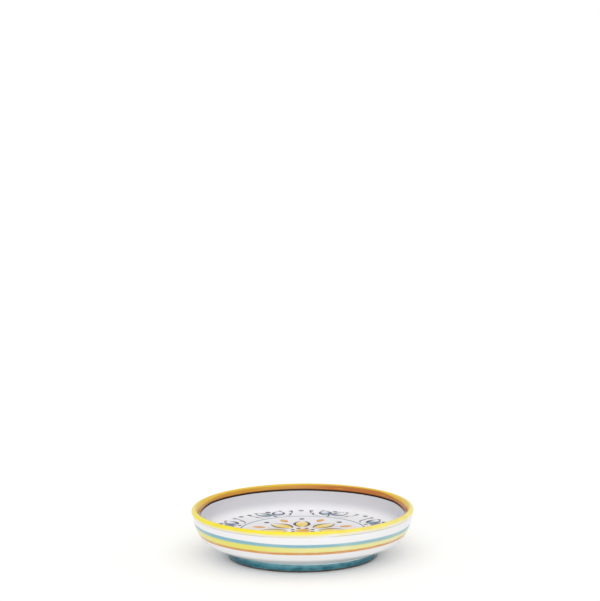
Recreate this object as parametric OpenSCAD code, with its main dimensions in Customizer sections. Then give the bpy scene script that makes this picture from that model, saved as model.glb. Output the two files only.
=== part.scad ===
// Wine bottle coaster: a thrown earthenware dish on a foot ring, tin-glazed
// white and banded and painted by brush. Millimetres. The dish stands on
// z = 0 and its axis is the Z axis. Each coat of glaze or colour is a solid
// of its own that lies on the clay, edge to edge with the next coat.

/* [Dish] */
// Overall diameter, across the rolled rim
dish_d = 127; // [118:1:150]
// Overall height, from the table to the crest of the rim
dish_h = 28; // [26:0.5:32]
// Height of the floor that the bottle stands on, from the table
floor_h = 14; // [12:0.5:16]
// Height from the table to the lowest point of the dish's underside, over the foot
under_h = 4.2; // [3.6:0.1:5]
// Height where the wall turns under towards the foot
turn_h = 10.2; // [9:0.2:11]
// Radius of the flatter curve of the underside, from there to the foot
under_round = 60; // [45:5:90]
// Thickness of the wall, with its glaze
wall_t = 4.1; // [3.6:0.1:4.4]
// Radius of the cove between floor and wall
cove_round = 3.5; // [2.5:0.5:4.5]

/* [Rim] */
// Thickness of the rolled edge
roll_d = 3.4; // [3:0.1:4]
// How far the rolled edge stands out past the wall
roll_out = 0.9; // [0.6:0.1:1.2]
// How far below the middle of the rolled edge the wall stands upright
plumb_drop = 0.9; // [0.6:0.1:1.2]
// Slope of the rim's inner face, in degrees above level
rim_slope = 55; // [50:1:60]

/* [Foot] */
// How far the foot stands in from the rim
foot_set_in = 20.8; // [19:0.2:22]
// Width of the foot ring, with its glaze
foot_w = 6; // [4:0.5:8]
// Height of the recess inside the foot ring
recess_h = 7.5; // [6:0.5:8]
// Radius in the corner of the recess
recess_round = 2; // [1:0.5:3]
// Radius of the bare edges that the foot stands on
foot_edge_round = 0.5; // [0.3:0.1:0.6]
// Height of the bare clay at the bottom of the foot
bare_h = 0.7; // [0.7:0.1:1.2]

/* [Glaze and bands] */
// Thickness of each coat of glaze or colour
glaze_t = 0.4; // [0.3:0.1:0.6]
// How far the yellow turns in over the crest of the rim, in degrees
yellow_turn = 54; // [51:1:60]
// Height of the dark line below the orange inside of the rim
dark_line_w = 0.9; // [0.8:0.1:1.2]
// White collar between the rolled edge and the teal line
collar_w = 5.5; // [5:0.1:6]
// Height of the teal line
teal_line_w = 1.6; // [1:0.1:2]
// Height of the pale yellow band
yellow_band_w = 3.3; // [3:0.1:4]
// Height of the orange line
orange_line_w = 1.8; // [1.2:0.1:2]

/* [Painted wreath] */
// Sprays round the floor, and petals of the rosette
sprays = 8; // [6:1:9]
// White margin between the wreath and the cove
wreath_margin = 1.1; // [0.6:0.1:1.6]
// Width of the wreath, from its ring line to its tips
wreath_w = 15.5; // [15:0.5:16.5]
// Width of the ring line inside the wreath
ring_line_w = 0.8; // [0.5:0.1:1.2]
// Length of a leaf, as a share of the wreath's width
leaf_l_share = 0.71; // [0.6:0.01:0.72]
// Width of a leaf
leaf_w = 4.2; // [3.4:0.2:4.4]
// Turn of a leaf away from its spray's stem, in degrees
leaf_turn = 33; // [31:1:36]
// Widest part of a brush stroke
stroke_w = 0.6; // [0.4:0.1:0.7]
// Diameter of a painted berry
berry_d = 1.5; // [1.1:0.1:1.7]

/* [Hidden] */

// Length that a cut or a window runs past what it takes in
over = 5;
// How far the dark line laps onto the wall's curve, below the rim's inner face
dark_lap = 0.2;
// How far one curve of the section bites into the next, so that they cross cleanly
bite = 0.01;
// Smoothness of the turned surfaces and of the arcs of their section
turn_fn = 180;
arc_fn = 96;
// Smoothness of a painted stroke or berry
paint_fn = 48;

// Clear space left round the wash of a leaf or petal by its outline
outline_gap = 0.4;
// How much further than the wash an outline runs at each end
outline_reach = 0.8;
// Half the space between the two outlines at the tips of a leaf
tip_gap = 0.25;
// Rise of a spray's stem over its own length
stem_rise = 0.3;
// Knot at the base of a spray, and the clear space from ring line to stem in knots
knot_d = 2.2;
stem_start_knots = 1.5;
// Space from a spray's base to its leaves, as a share of the wreath's width
leaf_start_share = 0.19;
// Length of the short dashes between two sprays
dash_l = 4;
// Rise of a short dash over its own length
dash_rise = 0.4;
// Turn of a dash to either side of the berry between two sprays
dash_turn_share = 0.3;

// The rosette's places, as shares of the ring line's radius
eye_share = 0.115;
bead_share = 0.165;
petal_start_share = 0.25;
petal_end_share = 0.67;
petal_w_share = 0.2;
bud_start_share = 0.62;
bud_end_share = 0.85;
bud_w_share = 0.11;
star_share = 0.8;
// Diameter of the beads round the rosette's eye, as a share of a berry's
bead_d_share = 0.8;
// How far into the wall, and into the foot, its outer coats are told from the inner
split_share = 0.5;

dish_r = dish_d / 2;
roll_r = roll_d / 2;
// Centre of the rolled edge
roll_x = dish_r - roll_r;
roll_z = dish_h - roll_r;
// Centre of the wall's curves, and radius of the outside one
wall_z = roll_z - plumb_drop;
wall_round = wall_z - under_h;
wall_x = dish_r - roll_out - wall_round;
inner_round = wall_round - wall_t;
mid_round = wall_round - wall_t * split_share;
foot_r = dish_r - foot_set_in;
foot_in_r = foot_r - foot_w;
foot_mid_r = foot_r - foot_w * split_share;
// Radius of the dish where its wall turns under
turn_x = wall_x + sqrt(pow(wall_round, 2) - pow(wall_z - turn_h, 2));
// Straight run from there to the lowest point, and centre of the curve over it
under_run = [turn_x - wall_x, turn_h - under_h];
under_lift = sqrt(pow(under_round, 2) - pow(norm(under_run) / 2, 2)) / norm(under_run);
under_centre = [wall_x, under_h] + under_run / 2 + [-under_run[1], under_run[0]] * under_lift;
// Centre of the cove
cove_z = floor_h + cove_round;
cove_x = wall_x + sqrt(pow(inner_round - cove_round + bite, 2) - pow(wall_z - cove_z, 2));
// Level where the clay of the foot ring meets the clay of the dish
lute_z = under_h + glaze_t;

// Edges of the painted bands, from the rim down
band_top_z = roll_z - collar_w;
yellow_top_z = band_top_z - teal_line_w;
orange_top_z = yellow_top_z - yellow_band_w;
belly_top_z = orange_top_z - orange_line_w;

// The rim's inner face leaves the rolled edge here, on a surface set in by inset
function rim_top(inset) = [
    roll_x - (roll_r - inset - bite) * sin(rim_slope),
    roll_z + (roll_r - inset - bite) * cos(rim_slope)
];
// Point of the same face, a distance down its slope
function rim_down(inset, distance) = [
    rim_top(inset)[0] - distance * cos(rim_slope),
    rim_top(inset)[1] - distance * sin(rim_slope)
];
// Distance down the slope to where it meets the inside curve of the wall
function rim_drop() =
    let (dx = rim_top(0)[0] - wall_x)
    let (dz = rim_top(0)[1] - wall_z)
    let (along = dx * cos(rim_slope) + dz * sin(rim_slope))
    along - sqrt(along * along - dx * dx - dz * dz + inner_round * inner_round);
dark_low_z = rim_down(0, rim_drop())[1] - dark_lap;
dark_top_z = dark_low_z + dark_line_w;

ring_r = cove_x - wreath_margin - wreath_w;
tip_r = cove_x - wreath_margin;
step_turn = 360 / sprays;
leaf_l = wreath_w * leaf_l_share;
leaf_start = wreath_w * leaf_start_share;

// Air inside the dish, grown by inset
module well_section(inset) {
    cove_end = inner_round / (inner_round - cove_round);
    cove_tip = [
        wall_x + (cove_x - wall_x) * cove_end,
        wall_z + (cove_z - wall_z) * cove_end
    ];
    translate([0, floor_h - inset]) square([cove_x, dish_h - floor_h + inset + over]);
    translate([cove_x, cove_z]) circle(r = cove_round + inset, $fn = arc_fn);
    intersection() {
        translate([wall_x, wall_z]) circle(r = inner_round + inset, $fn = arc_fn);
        polygon([
            [wall_x, wall_z],
            cove_tip + (cove_tip - [wall_x, wall_z]),
            [cove_tip[0] + wall_round, dish_h + over],
            [wall_x, dish_h + over]
        ]);
    }
    rim_start = rim_down(inset, -roll_r / 2);
    rim_end = rim_down(inset, rim_drop() + roll_r);
    polygon([
        rim_start,
        rim_end,
        [rim_end[0], dish_h + over],
        [rim_start[0], dish_h + over]
    ]);
}

// Air inside the foot ring, grown by inset
module recess_section(inset) {
    corner_x = foot_in_r - recess_round;
    corner_z = recess_h - recess_round;
    translate([0, -over]) square([corner_x, recess_h + inset + over]);
    translate([0, -over]) square([foot_in_r + inset, corner_z + over]);
    translate([corner_x, corner_z]) circle(r = recess_round + inset, $fn = arc_fn);
}

// Foot ring, set in by inset at its sides, with its bare edges rounded
module foot_section(inset) {
    outer = foot_r - inset;
    inner = foot_in_r + inset;
    ease = foot_edge_round;
    translate([inner + ease, 0]) square([outer - inner - 2 * ease, ease]);
    translate([inner, ease]) square([outer - inner, floor_h - recess_round - ease]);
    translate([inner + ease, ease]) circle(r = ease, $fn = arc_fn);
    translate([outer - ease, ease]) circle(r = ease, $fn = arc_fn);
}

// Half section of the whole coaster, with its surface set in by inset
module body_section(inset) {
    difference() {
        union() {
            intersection() {
                translate([wall_x, wall_z]) circle(r = wall_round - inset, $fn = arc_fn);
                translate(under_centre) circle(r = under_round - inset, $fn = arc_fn);
                translate([wall_x, 0]) square([wall_round + over, roll_z]);
            }
            translate([0, under_h + inset]) square([wall_x, floor_h - under_h]);
            translate([roll_x, roll_z]) circle(r = roll_r - inset, $fn = arc_fn);
            translate([roll_x - roll_d, roll_z]) square([roll_d, rim_top(inset)[1] - roll_z]);
            foot_section(inset);
        }
        well_section(inset);
        recess_section(inset);
    }
}

// Section of all the coats on the clay
module coat_section() {
    difference() {
        body_section(0);
        body_section(glaze_t);
    }
}

// Coat on the outside of the wall, between two levels
module outside_coat(low, high) {
    rotate_extrude($fn = turn_fn)
        difference() {
            intersection() {
                coat_section();
                translate([foot_r, low]) square([dish_r - foot_r + over, high - low]);
            }
            translate([wall_x, wall_z]) circle(r = mid_round, $fn = arc_fn);
        }
}

// Coat on the inside of the wall, between two levels
module inside_coat(low, high) {
    rotate_extrude($fn = turn_fn)
        intersection() {
            coat_section();
            translate([wall_x, wall_z]) circle(r = mid_round, $fn = arc_fn);
            translate([cove_x, low]) square([dish_r, high - low]);
        }
}

// Coat over the rolled edge, inside a window seen from the roll's centre
module rim_coat(window) {
    rotate_extrude($fn = turn_fn)
        intersection() {
            coat_section();
            polygon(concat([[roll_x, roll_z]], window));
        }
}
yellow_ray = [
    roll_x + over * cos(90 + yellow_turn),
    roll_z + over * sin(90 + yellow_turn)
];

// Solid that a painted shape makes in the floor's coat
module on_floor() {
    translate([0, 0, floor_h - glaze_t]) linear_extrude(glaze_t) children();
}

// Radius of the circle that rises by rise over a chord
function chord_r(chord, rise) = (chord * chord / 4 + rise * rise) / (2 * rise);

// Pointed wash of a leaf or petal, from the origin along X
module wash(length, width) {
    round_r = chord_r(length, width / 2);
    intersection() {
        translate([length / 2, round_r - width / 2]) circle(r = round_r, $fn = paint_fn);
        translate([length / 2, width / 2 - round_r]) circle(r = round_r, $fn = paint_fn);
    }
}

// Brush stroke that is fine at both ends and bends by rise, from the origin along X
module stroke(length, rise, width) {
    full_r = chord_r(length, rise + width);
    hollow_r = chord_r(length, rise);
    difference() {
        translate([length / 2, rise + width - full_r]) circle(r = full_r, $fn = paint_fn);
        translate([length / 2, rise - hollow_r]) circle(r = hollow_r, $fn = paint_fn);
    }
}

// The two strokes that outline a wash
module outline(length, width) {
    for (side = [0, 1])
        mirror([0, side])
            translate([-outline_reach, tip_gap])
                stroke(length + 2 * outline_reach, width / 2 + outline_gap - tip_gap, stroke_w);
}

// Copies of a shape round the floor, from a first turn
module around(first_turn) {
    for (i = [0:sprays - 1]) rotate(first_turn + i * step_turn) children();
}

// Places a leaf of a spray, turned to one side of the stem
module leaf_place(side) {
    around(step_turn / 2)
        translate([ring_r + knot_d, 0])
            rotate(side * leaf_turn)
                translate([leaf_start, 0])
                    children();
}

// Places a petal of the rosette
module petal_place() {
    around(0) translate([ring_r * petal_start_share, 0]) children();
}
petal_l = ring_r * (petal_end_share - petal_start_share);
petal_w = ring_r * petal_w_share;

module berry() {
    circle(d = berry_d, $fn = paint_fn);
}

module strokes_shape() {
    stem_x = ring_r + stem_start_knots * knot_d;
    around(step_turn / 2)
        translate([stem_x, -stem_rise - stroke_w / 2])
            stroke(tip_r - berry_d - tip_gap - stem_x, stem_rise, stroke_w);
    leaf_place(1) outline(leaf_l, leaf_w);
    leaf_place(-1) outline(leaf_l, leaf_w);
    for (side = [-1, 1])
        around(side * step_turn * dash_turn_share / 2)
            translate([tip_r - berry_d - dash_l, 0])
                stroke(dash_l, dash_rise, stroke_w);
    petal_place() outline(petal_l, petal_w);
}

module berries_shape() {
    around(step_turn / 2) translate([tip_r - berry_d / 2, 0]) berry();
    around(step_turn / 2) translate([ring_r + knot_d, 0]) circle(d = knot_d, $fn = paint_fn);
    around(0) translate([tip_r - berry_d / 2, 0]) berry();
    around(0) translate([ring_r * star_share, 0]) berry();
    around(step_turn / 2)
        translate([ring_r * bead_share, 0])
            circle(d = berry_d * bead_d_share, $fn = paint_fn);
}

module ring_line_shape() {
    difference() {
        circle(r = ring_r, $fn = turn_fn);
        circle(r = ring_r - ring_line_w, $fn = turn_fn);
    }
}

module buds_shape() {
    circle(r = ring_r * eye_share, $fn = paint_fn);
    around(step_turn / 2)
        translate([ring_r * bud_start_share, 0])
            wash(ring_r * (bud_end_share - bud_start_share), ring_r * bud_w_share);
}

module clay_dish() {
    color("#b9623f")
    rotate_extrude($fn = turn_fn)
        intersection() {
            body_section(glaze_t);
            translate([0, lute_z]) square([dish_r, dish_h]);
        }
}

module clay_foot_ring() {
    color("#b9623f")
    rotate_extrude($fn = turn_fn)
        intersection() {
            foot_section(glaze_t);
            square([foot_r, lute_z]);
        }
}

module floor_glaze() {
    color("#e8e6e1")
    on_floor()
        difference() {
            circle(r = cove_x, $fn = turn_fn);
            ring_line_shape();
            strokes_shape();
            berries_shape();
            leaf_place(1) wash(leaf_l, leaf_w);
            leaf_place(-1) wash(leaf_l, leaf_w);
            petal_place() wash(petal_l, petal_w);
            buds_shape();
        }
}

module inner_wall_glaze() {
    color("#e4e3df") inside_coat(0, dark_low_z);
}

module inner_dark_line() {
    color("#33291d") inside_coat(dark_low_z, dark_top_z);
}

module inner_rim_orange() {
    color("#c98a3c")
    rim_coat([
        yellow_ray,
        [roll_x - wall_round, dish_h + over],
        [roll_x - wall_round, dark_top_z],
        [roll_x, dark_top_z]
    ]);
}

module rim_yellow() {
    color("#f6dd45")
    rim_coat([
        [roll_x + over, roll_z],
        [roll_x + over, dish_h + over],
        yellow_ray + [0, over],
        yellow_ray
    ]);
}

module collar_glaze() {
    color("#efeeec") outside_coat(band_top_z, roll_z);
}

module teal_line() {
    color("#8fc0c4") outside_coat(yellow_top_z, band_top_z);
}

module yellow_band() {
    color("#e8e07c") outside_coat(orange_top_z, yellow_top_z);
}

module orange_line() {
    color("#dda35c") outside_coat(belly_top_z, orange_top_z);
}

module belly_glaze() {
    color("#efeeec") outside_coat(0, belly_top_z);
}

module foot_teal() {
    color("#4d919c")
    rotate_extrude($fn = turn_fn)
        intersection() {
            coat_section();
            translate([foot_mid_r, bare_h]) square([foot_r - foot_mid_r, recess_h]);
        }
}

module recess_glaze() {
    color("#e4e3df")
    rotate_extrude($fn = turn_fn)
        intersection() {
            coat_section();
            translate([0, bare_h]) square([foot_mid_r, recess_h + glaze_t - bare_h]);
        }
}

module teal_ring_line() {
    color("#4d919c") on_floor() ring_line_shape();
}

module cobalt_strokes() {
    color("#2b3a6b") on_floor() strokes_shape();
}

module cobalt_berries() {
    color("#232a52") on_floor() berries_shape();
}

module teal_leaves() {
    color("#6f9fae") on_floor() leaf_place(1) wash(leaf_l, leaf_w);
}

module blue_leaves() {
    color("#7f94b8") on_floor() leaf_place(-1) wash(leaf_l, leaf_w);
}

module yellow_petals() {
    color("#f0d65a") on_floor() petal_place() wash(petal_l, petal_w);
}

module orange_buds() {
    color("#d8923e") on_floor() buds_shape();
}

clay_dish();
clay_foot_ring();
floor_glaze();
inner_wall_glaze();
inner_dark_line();
inner_rim_orange();
rim_yellow();
collar_glaze();
teal_line();
yellow_band();
orange_line();
belly_glaze();
foot_teal();
recess_glaze();
teal_ring_line();
cobalt_strokes();
cobalt_berries();
teal_leaves();
blue_leaves();
yellow_petals();
orange_buds();
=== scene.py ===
import math
import random

import bpy
from mathutils import Matrix, Vector, noise


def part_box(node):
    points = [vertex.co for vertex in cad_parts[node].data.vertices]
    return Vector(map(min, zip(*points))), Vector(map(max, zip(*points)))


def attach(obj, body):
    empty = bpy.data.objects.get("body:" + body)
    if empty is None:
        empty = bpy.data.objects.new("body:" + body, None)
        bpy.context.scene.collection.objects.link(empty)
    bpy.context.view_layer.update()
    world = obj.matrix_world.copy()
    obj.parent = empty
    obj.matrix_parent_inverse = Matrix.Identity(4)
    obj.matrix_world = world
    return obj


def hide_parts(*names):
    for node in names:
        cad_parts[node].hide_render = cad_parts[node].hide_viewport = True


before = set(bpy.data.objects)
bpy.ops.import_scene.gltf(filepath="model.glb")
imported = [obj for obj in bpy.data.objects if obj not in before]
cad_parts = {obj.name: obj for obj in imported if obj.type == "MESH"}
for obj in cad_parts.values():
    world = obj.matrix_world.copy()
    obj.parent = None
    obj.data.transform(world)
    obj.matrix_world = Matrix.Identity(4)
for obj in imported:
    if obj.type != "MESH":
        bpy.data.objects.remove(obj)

bl_info = {
    "name": "Majolica Bottle Coaster",
    "version": (1, 0, 0),
    "blender": (4, 5, 0),
    "location": "3D View > Sidebar > Coaster",
    "description": "Glazes, bands and paints a thrown earthenware bottle coaster",
    "category": "Object",
}

MM = 0.001
X, Z = 0, 2
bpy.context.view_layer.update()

# Meshes: how finely they are made, and how deep a coat or a stroke reaches
TURN_STEPS = 216
SMOOTH_ANGLE = math.radians(40)
ARC_STEP = 0.3 * MM
SECTION_STEP = 0.25 * MM
SAME_POINT = 0.0001 * MM
EASING_ROUNDS = 4
WELD_DISTANCE = 0.002 * MM
COAT_DEPTH = 0.9
STROKE_BODY = 0.15 * MM
STROKE_CELLS = (14, 4)
LEAF_CELLS = (14, 6)
DAB_CELLS = (10, 6)
RELIEF_DEPTH = 0.03 * MM

# Brush: how ragged its edge is, as a share of its width, and the noise it draws on
RAGGED_EDGE = 0.16
NOISE_FIELD = 90

# Paint: how far the lines run out of level, from left to right or to both sides
FOOT_LEAN = 0.009
TEAL_LEAN = 0.010
TEAL_SWELL = 0.3 * MM
ORANGE_RISE = 0.2 * MM
DARK_WIDTH = 0.85 * MM
DARK_DIP = 0.8 * MM
DARK_LEAN = 0.12 * MM

# Stage: the floor's size in metres and what it gives back, the tint of the light, and
# the width of the sensor in millimetres
FLOOR_SIZE = 30
FLOOR_WHITE = 0.83
ROOM_TINT = (1, 1, 0.985, 1)
SENSOR = 36


def low(node, axis):
    """Lowest coordinate of a part of the frame along an axis."""
    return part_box(node)[0][axis]


def high(node, axis):
    """Highest coordinate of a part of the frame along an axis."""
    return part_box(node)[1][axis]


def tint(red, green, blue):
    """Linear colour of a screen colour given in steps of 0 to 255."""
    def linear(step):
        value = step / 255
        return value / 12.92 if value <= 0.04045 else ((value + 0.055) / 1.055) ** 2.4
    return linear(red), linear(green), linear(blue)


def amount(name, description, default, **more):
    """A plain number that a user can set."""
    return bpy.props.FloatProperty(name=name, description=description, default=default, **more)


def length(name, description, default):
    """A size that a user can set, in metres."""
    more = {"min": 0.0, "precision": 5, "subtype": "DISTANCE", "unit": "LENGTH"}
    return amount(name, description, default, **more)


def degrees(name, description, default):
    """An angle that a user can set, given in degrees."""
    return amount(name, description, math.radians(default), subtype="ANGLE", unit="ROTATION")


def several(name, description, default, **more):
    """Two or three numbers that a user can set together."""
    return bpy.props.FloatVectorProperty(
        name=name, description=description, default=default, size=len(default), **more)


def colour(name, description, *steps):
    """A colour that a user can set, given in steps of 0 to 255."""
    return several(name, description, tint(*steps), min=0.0, max=1.0, subtype="COLOR")


class CoasterSizes(bpy.types.PropertyGroup):
    """Sizes of the turned dish and of its bands"""
    dish_radius: length("Dish radius", "Axis to the outside of the rim", high("rim_yellow", X))
    dish_height: length("Dish height", "Table to the crest of the rim", high("rim_yellow", Z))
    floor_height: length("Floor height", "Table to the floor of the well", high("floor_glaze", Z))
    wall_round: length("Wall round", "Radius of the outside curve of the wall", 21.2 * MM)
    plumb_height: length("Plumb height", "Height where the wall stands upright", 25.4 * MM)
    turn_height: length("Turn height", "Height where the wall turns under to the foot", 10.2 * MM)
    under_height: length("Under height", "Lowest point of the underside, over the foot", 4.2 * MM)
    under_round: length("Under round", "Radius of the underside's flatter curve", 60 * MM)
    wall_thickness: length("Wall thickness", "Thickness of the wall with its glaze", 4.1 * MM)
    cove_round: length("Cove round", "Radius between floor and wall", 3.5 * MM)
    roll_radius: length("Roll radius", "Radius of the rolled edge", 1.7 * MM)
    roll_out: length("Roll out", "How far the roll stands out past the wall", 0.9 * MM)
    glaze: length("Glaze", "Thickness of a coat of glaze", 0.4 * MM)
    dark_low: length("Dark line, low", "Lower edge of the dark line", low("inner_dark_line", Z))
    dark_top: length("Dark line, top", "Upper edge of the dark line", high("inner_dark_line", Z))
    teal_top: length("Teal line, top", "Upper edge of the teal line", high("teal_line", Z))
    teal_low: length("Teal line, low", "Lower edge of the teal line", low("teal_line", Z))
    yellow_low: length("Yellow band, low", "Lower edge of the yellow band", low("yellow_band", Z))
    orange_low: length("Orange line, low", "Lower edge of the orange line", low("orange_line", Z))
    foot_radius: length("Foot radius", "Axis to the outside of the foot", high("foot_teal", X))
    foot_width: length("Foot width", "Width of the foot ring", 6 * MM)
    bare_height: length("Bare edge", "Height of the bare clay at the foot", low("foot_teal", Z))
    recess_height: length("Recess height", "Table to the ceiling inside the foot", 7.5 * MM)
    recess_round: length("Recess round", "Radius in the corner of the recess", 2 * MM)
    wobble: length("Wobble", "How far the hand-thrown shape strays from true", 0.25 * MM)
    rim_slope: degrees("Rim slope", "Slope of the inner face of the rim", 55)
    yellow_turn: degrees("Yellow turn", "How far the yellow turns in over the crest", 54)


class CoasterPaint(bpy.types.PropertyGroup):
    """Sizes of the brushwork on the floor"""
    sprays: bpy.props.IntProperty(
        name="Sprays", description="Leaf sprays round the floor", default=8, min=3)
    margin: length("Margin", "White margin outside the wreath", 0.3 * MM)
    wreath: length("Wreath width", "Ring line to the tips of the wreath", 15.5 * MM)
    ring_line: length("Ring line", "Width of the ring line", 0.8 * MM)
    leaf_length: length("Leaf length", "Length of a leaf", 10.5 * MM)
    leaf_width: length("Leaf width", "Width of a leaf", 5 * MM)
    stroke: length("Stroke width", "Widest part of a brush stroke", 1.6 * MM)
    berry: length("Berry size", "Diameter of a painted berry", 3.2 * MM)
    knot: length("Knot size", "Diameter of the knot that a spray springs from", 2.2 * MM)
    relief: length("Relief", "How far the colour stands up from the glaze", 0.05 * MM)
    leaf_turn: degrees("Leaf turn", "Turn of a leaf away from its stem", 33)


class CoasterColours(bpy.types.PropertyGroup):
    """Colours of the clay, the glaze and the paint"""
    clay: colour("Clay", "Bare fired earthenware", 158, 92, 64)
    white: colour("White glaze", "Opaque tin glaze", 240, 239, 242)
    # Painted shade: white greyed on the steep inner wall to stand in for its shade
    white_wall_shade: colour("White glaze, steep", "Tin glaze on the steep inner wall", 206, 205, 212)
    # Painted shade: a greyed white for the underside and the top of the foot
    white_shaded_under: colour("White glaze, under", "Thin tin glaze on the underside", 222, 222, 222)
    # Painted light: white brighter than the glaze, for floor light just above the foot
    white_lit_above_foot: colour("White glaze, low", "Thick tin glaze just above the foot", 254, 254, 254)
    # Painted shade: the grey of the groove, where glaze also pools
    groove: colour("Groove", "Glaze pooled in the groove under the rolled edge", 190, 186, 194)
    yellow: colour("Rim yellow", "Yellow of the rim", 243, 226, 50)
    # Deep yellow also serves as painted shade where the yellow turns in over the crest
    yellow_deep: colour("Deep yellow", "Yellow where it lies thick", 228, 188, 48)
    orange: colour("Rim orange", "Orange inside the rim", 206, 154, 48)
    # Deep orange also serves as painted shade down the inner face and to the right
    orange_deep: colour("Deep orange", "Orange where it lies thick", 184, 106, 44)
    dark: colour("Dark line", "Brown-black line inside the rim", 44, 28, 14)
    teal_pale: colour("Pale teal", "Teal line round the wall", 120, 178, 194)
    yellow_pale: colour("Pale yellow", "Yellow band round the wall", 232, 224, 96)
    orange_line: colour("Orange line", "Orange line round the wall", 212, 144, 50)
    teal: colour("Foot teal", "Teal of the foot", 112, 184, 198)
    # Deep teal also serves as painted shade on the foot and the belly just above it
    teal_deep: colour("Deep teal", "Teal where it lies thick", 26, 104, 120)
    cobalt: colour("Cobalt", "Dark blue of the brushwork", 20, 24, 54)
    cobalt_thin: colour("Thin cobalt", "Cobalt where the brush runs dry", 50, 62, 108)
    leaf_teal: colour("Leaf teal", "Wash of the teal leaves", 70, 126, 146)
    leaf_blue: colour("Leaf blue", "Wash of the blue leaves", 92, 112, 168)
    petal: colour("Petal", "Yellow of the petals", 242, 208, 70)
    bud: colour("Bud", "Orange of the buds and the eye", 216, 142, 60)


class CoasterStage(bpy.types.PropertyGroup):
    """Camera, lamps and floor"""
    distance: length("Camera distance", "Camera to the foot of the dish", 1783 * MM)
    elevation: degrees("Camera elevation", "Height of the camera above the horizon", 13.75)
    roll: degrees("Camera roll", "Roll of the camera", -0.47)
    focal_px: amount("Focal length", "Focal length in pixels of the picture", 3112.0)
    foot_px: several("Foot pixel", "Pixel where the middle of the foot lands", (302.9, 554.5))
    picture_px: several("Picture size", "Width and height in pixels", (600.0, 601.0))
    ambient: amount("Ambient", "Strength of the light from all round", 0.8)
    key: amount("Key", "Strength of the wide soft lamp overhead", 0.42)
    fill: amount("Fill", "Strength of the soft lamp above the camera", 0.5)
    low_fill: amount("Low fill", "Strength of the soft lamp low in front", 0.14)
    floor_glow: amount("Floor glow", "Light of the floor itself, as of a lit table", 0.12)


def select(*pieces):
    """Leaves only these objects selected, and the first one active."""
    bpy.ops.object.select_all(action="DESELECT")
    for piece in pieces:
        piece.select_set(True)
    bpy.context.view_layer.objects.active = pieces[0]


def arc(centre, radius, start, end):
    """Points along an arc of the section, with the angles in radians."""
    count = max(2, math.ceil(abs(end - start) * radius / ARC_STEP))
    angles = [start + (end - start) * i / count for i in range(count + 1)]
    across, up = centre
    return [(across + radius * math.cos(a), up + radius * math.sin(a)) for a in angles]


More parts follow.
